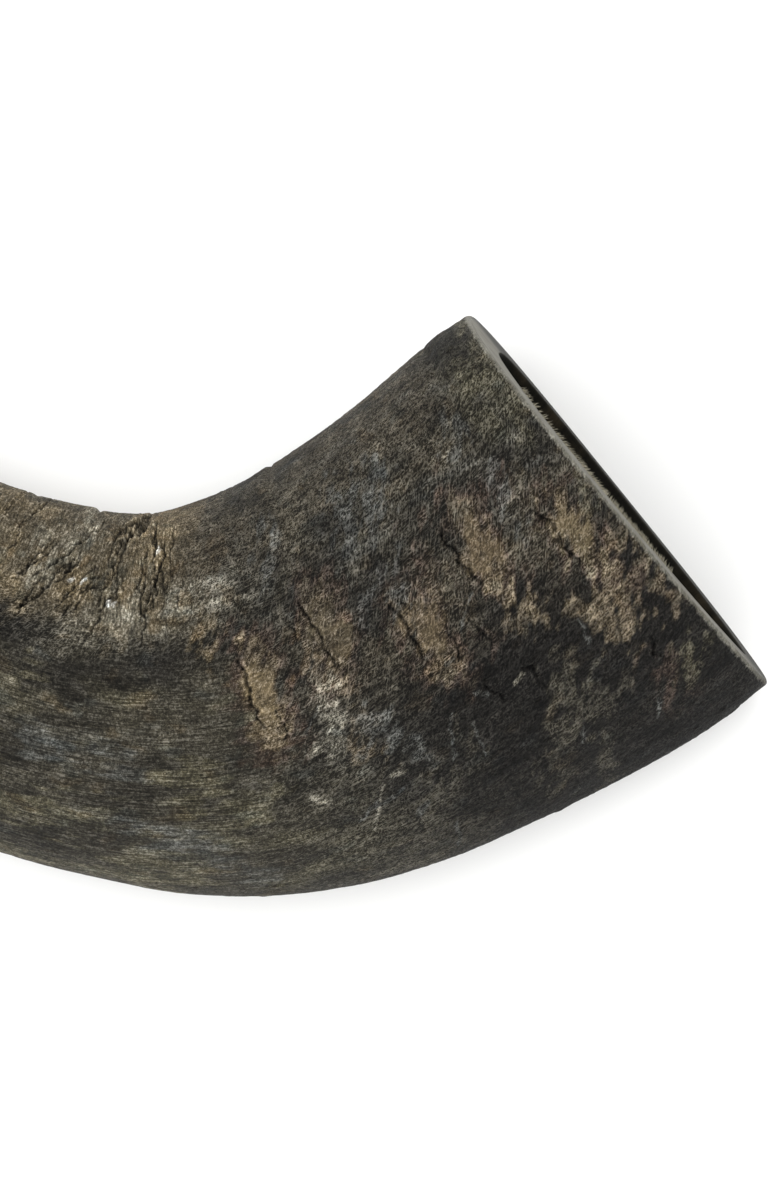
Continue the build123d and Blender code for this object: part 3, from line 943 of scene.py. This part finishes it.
CONES = (
    ("fifth_year_bell", "horn_wall"), ("fourth_year_cone", "horn_wall"), ("third_year_cone", "horn_wall"),
    ("second_year_cone", "scraped_horn"), ("first_year_tip", "scraped_horn"),
)
cone_columns = columns[::2]
HAIR = 0.06  # how close the last ring of a skin follows its edge, to keep the seam a hairline
RING_STEP = 1.0
SEAM_ROWS = 12  # rings across the seam between two cones
FACE_ROWS = 8  # rings across a cut face
LIP_OUTSIDE, LIP_INSIDE = 0.9, 0.8  # how far the mouthpiece's lip is rounded off on either side


def hollow_radii(distances):
    """Radii of the airway: the natural hollow, then the drilled bore, then the cup."""
    natural = radii(distances, cone_columns, True)
    past_drill = smooth(NATURAL_HOLLOW - 7, NATURAL_HOLLOW, distances)[:, None]
    into_cup = np.clip((distances - (HORN_LENGTH - CUP_DEPTH)) / CUP_DEPTH, 0, 1)[:, None]
    bowl = BORE_RADIUS + (CUP_RADIUS - BORE_RADIUS) * np.sin(into_cup * pi / 2) ** 0.85
    return blend(natural, bowl, past_drill)


def cone_rows(start, end, last):
    """A cone's rings: distance, place in the wall (1 skin, 0 hollow), which are skin and which hollow."""
    first = start == 0
    skin_s = np.linspace(start, end, int((end - start) / RING_STEP) + 2)
    skin_s = np.r_[start, start + HAIR, skin_s[1:-1], end - HAIR, end]
    share = np.linspace(1, 0, SEAM_ROWS + 2)[1:-1]
    seam_out = np.linspace(0, FACE_REACH, SEAM_ROWS + 2)[1:-1]
    hollow_start, hollow_end = start + FACE_REACH, end + FACE_REACH
    near_face, near_share = start + seam_out[::-1], share[::-1]
    far_face, far_share = end + seam_out, share
    if first:
        skin_s = np.r_[0, 0.5, 1.0, skin_s[3:]]
        hollow_start = 0
        near_face, near_share = np.zeros(FACE_ROWS), np.linspace(0, 1, FACE_ROWS + 2)[1:-1]
    if last:
        skin_s = np.r_[skin_s[:-3], end - 0.9, end - 0.5, end - 0.2, end]
        hollow_end = end
        far_face, far_share = np.full(FACE_ROWS, end), np.linspace(1, 0, FACE_ROWS + 2)[1:-1]
    hollow_s = np.linspace(hollow_end, hollow_start, int((hollow_end - hollow_start) / RING_STEP) + 2)
    if first:
        hollow_s = np.r_[hollow_s[:-2], 0.6, 0.3, 0.1, 0.0]
    distances = np.r_[skin_s, far_face, hollow_s, near_face]
    places = np.r_[np.ones(len(skin_s)), far_share, np.zeros(len(hollow_s)), near_share]
    row, hollow_from = np.arange(len(distances)), len(skin_s) + len(far_face)
    return distances, places, row < len(skin_s), (row >= hollow_from) & (row < hollow_from + len(hollow_s))


def cone_radius(grid, first, last, on_skin, in_hollow):
    """Radii with the ripples of the cone's faces, and the hollow's edge at the saw or the round lips."""
    radius = grid.radius.copy()
    ripple = 0.16 * fbm(grid.s * 0.02, grid.u * 0.18, grid.w * 0.18, 3, 111)
    ripple += 0.12 * grid.cloud(34, 2.6, 1, 114)
    radius += ripple * (on_skin * smooth(225, 250, grid.s))
    rough_wall = 0.35 * fbm(grid.s * 0.08, grid.u * 0.25, grid.w * 0.25, 3, 112)
    radius += rough_wall * in_hollow * smooth(0.8, 6, grid.s) * (1 - smooth(240, 262, grid.s))
    if first:
        # worn on the underside and furred with burrs on top
        burr = smooth(-4, 8, grid.w) * smooth(-26, -14, grid.u) * (1 - smooth(22, 30, grid.u))
        teeth = np.maximum(0, noise(0 * grid.s, grid.u * 1.6, grid.w * 1.6, 113) + 0.25)
        edge = in_hollow * np.exp(-grid.s / 0.5)
        radius -= 0.12 * burr * teeth * edge
        radius += 0.5 * (1 - burr) * edge
    if last:
        rim = np.clip(1 - (HORN_LENGTH - grid.s) / LIP_OUTSIDE, 0, 1)
        radius -= LIP_OUTSIDE * (1 - np.sqrt(1 - rim**2)) * on_skin
        radius += LIP_INSIDE * (1 - np.sqrt(1 - rim**2)) * in_hollow
    return radius


def cone_tint(grid, first, last, on_skin, in_hollow):
    """Scraped or sawn horn outside, and near-black painted shade inside, as far as the mouthpiece's cup."""
    tint = over(scraped_tint, grid)
    # painted shade: the hollow is tinted near-black as far as the mouthpiece's cup
    dark = in_hollow * np.ones(grid.s.shape)
    if last:
        dark *= 1 - smooth(HORN_LENGTH - CUP_DEPTH, HORN_LENGTH - CUP_DEPTH + 5, grid.s)
    if first:
        dark = in_hollow * smooth(0.05, 0.35, grid.s)
        tint = laid(over(rim_tint, grid), "under crust", on_skin * smooth(0.2, 0.8, grid.s))
    return blend(tint, over(hollow_tint, grid), dark[..., None])


def make_cone(node, start, end):
    """One cone: its skin between two rings, its stretch of the hollow, and the seams between."""
    first, last = start == 0, end == HORN_LENGTH
    distances, places, on_skin, in_hollow = cone_rows(start, end, last)
    airway = hollow_radii(distances)
    wall = radii(distances, cone_columns, False) - airway
    grid = Rings(distances, cone_columns, radius=airway + wall * places[:, None])
    where = first, last, on_skin[:, None], in_hollow[:, None]
    points = grid.points(cone_radius(grid, *where))
    points[..., 2] = np.maximum(points[..., 2], 0.0)
    slots = np.full(len(distances), SAWN_SLOT if first else SCRAPED_SLOT)
    slots[in_hollow & (distances > 0.2) & (distances < HORN_LENGTH - CUP_DEPTH)] = HOLLOW_SLOT
    attributes = {"tint": colours(cone_tint(grid, *where)), "strand": grid.places}
    piece = build(f"{node}_horn", points, attributes, slots, BARE_MATERIALS)
    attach(piece, "root")
    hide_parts(node)


# ---- Burr at the mouth ----

BURR_COUNT = 400
BURR_SEED = 21
BURR_ANGLES = (28, 150)  # in degrees round the hollow's edge, from the inside of the curve
BURR_ROOT = 0.25  # how deep each fibre is set in the wall


def make_burr():
    """Fibres torn up by the saw along the upper edge of the hollow, each a thin closed spike."""
    random = np.random.default_rng(BURR_SEED)
    angles = np.radians(random.uniform(*BURR_ANGLES, BURR_COUNT))
    order = np.argsort(angles)
    edge = Rings(np.zeros(1), angles[order], hollow=True).points()[0]
    middle = edge.mean(0)
    verts, faces, strand = [], [], []
    for root in edge:
        inwards = middle - root
        inwards /= np.linalg.norm(inwards)
        lean = np.array([random.uniform(0.8, 2.2), random.normal(0, 0.4), random.normal(0, 0.3)])
        way = inwards + lean
        way /= np.linalg.norm(way)
        side = np.cross(way, (1.0, 0.2, 0.1))
        side /= np.linalg.norm(side)
        other = np.cross(way, side)
        thick, long = random.uniform(0.07, 0.15), random.uniform(0.4, 1.0)
        start = root - way * BURR_ROOT
        first = len(verts)
        verts += [start + thick * (side * cos(t) + other * sin(t)) for t in (0, 2 * pi / 3, 4 * pi / 3)]
        verts.append(start + way * (long + BURR_ROOT))
        faces += [(first, first + 2, first + 1)]
        faces += [(first + k, first + (k + 1) % 3, first + 3) for k in range(3)]
        strand += [(random.uniform(0, 40), random.uniform(0, 40), 0.0)] * 4
    mesh = bpy.data.meshes.new("rim_burr")
    mesh.from_pydata([tuple(v * MM) for v in np.array(verts)], [], faces)
    # the fibres' own pale colour, brightened up to 1.8 times as painted light on their shaded undersides
    tint = np.tile(paint("bone"), (len(verts), 1)) * random.uniform(0.9, 1.8, (len(verts), 1))
    write_attribute(mesh, "tint", colours(tint))
    write_attribute(mesh, "strand", np.array(strand))
    mesh.materials.append(SAWN_MATERIAL)
    piece = link("rim_burr", mesh)
    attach(piece, "root")


# ---- Setting ----

VIEW_TURN = radians(38.9)  # how far the bell's outward direction is turned in the picture
VIEW_TILT = radians(6.0)  # from straight above, towards the side that the bell opens to
LOOK_AT = Vector((BELL_CENTRE[0] - 38.4, BELL_CENTRE[1] + 10.8, 22.0)) * MM
DISTANCE = 0.9
SPAN = 0.1922  # what the picture's long side takes in at that distance
SENSOR = 36.0
FLOOR_HALF = 3.0
# Soft lights: place, size and power.
LIGHTS = {
    "key": ((0.15, 0.5, 1.4), 1.7, 24.0),
    "fill": ((-0.9, -0.5, 1.0), 1.2, 7.0),
}


def make_camera():
    data = bpy.data.cameras.new("camera")
    data.sensor_width = SENSOR
    data.lens = SENSOR * DISTANCE / SPAN
    data.clip_start = 0.01
    camera = link("camera", data)
    turn, tilt = VIEW_TURN, VIEW_TILT
    right = Vector((cos(turn) * cos(tilt), -sin(turn), -cos(turn) * sin(tilt)))
    back = Vector((sin(tilt), 0, cos(tilt)))
    up = back.cross(right).normalized()
    right = up.cross(back).normalized()
    turned = Matrix((right, up, back)).transposed().to_4x4()
    camera.matrix_world = Matrix.Translation(LOOK_AT + back * DISTANCE) @ turned
    bpy.context.scene.camera = camera


def make_light(name, place, size, power):
    data = bpy.data.lights.new(name, "AREA")
    data.shape = "SQUARE"
    data.size = size
    data.energy = power
    lamp = link(name, data)
    lamp.location = place
    lamp.rotation_euler = Vector(place).to_track_quat("Z", "Y").to_euler()


def make_setting():
    mesh = bpy.data.meshes.new("floor")
    corners = [(x * FLOOR_HALF, y * FLOOR_HALF, 0) for x, y in ((-1, -1), (1, -1), (1, 1), (-1, 1))]
    mesh.from_pydata(corners, [], [(0, 1, 2, 3)])
    floor = link("floor", mesh)
    n = Nodes("pale_floor")
    place = n.add("ShaderNodeTexCoord").outputs["Object"]
    colour = n.mixed(n.grain(place, 3.0), (0.86, 0.86, 0.85, 1), (0.88, 0.88, 0.87, 1))
    n.put(n.shader, {"Base Color": colour, "Roughness": 0.9})
    mesh.materials.append(n.material)

    world = bpy.data.worlds.new("studio")
    world.use_nodes = True
    background = world.node_tree.nodes["Background"]
    background.inputs["Color"].default_value = (1, 1, 1, 1)
    background.inputs["Strength"].default_value = 1.0
    bpy.context.scene.world = world
    for name, (place, size, power) in LIGHTS.items():
        make_light(name, place, size, power)


make_camera()
make_setting()
make_crust()
make_burr()
for (cone, slot), cone_start, cone_end in zip(CONES, (0.0, *RINGS), (*RINGS, HORN_LENGTH)):
    make_cone(cone, cone_start, cone_end)
bpy.context.scene.view_settings.view_transform = "Standard"
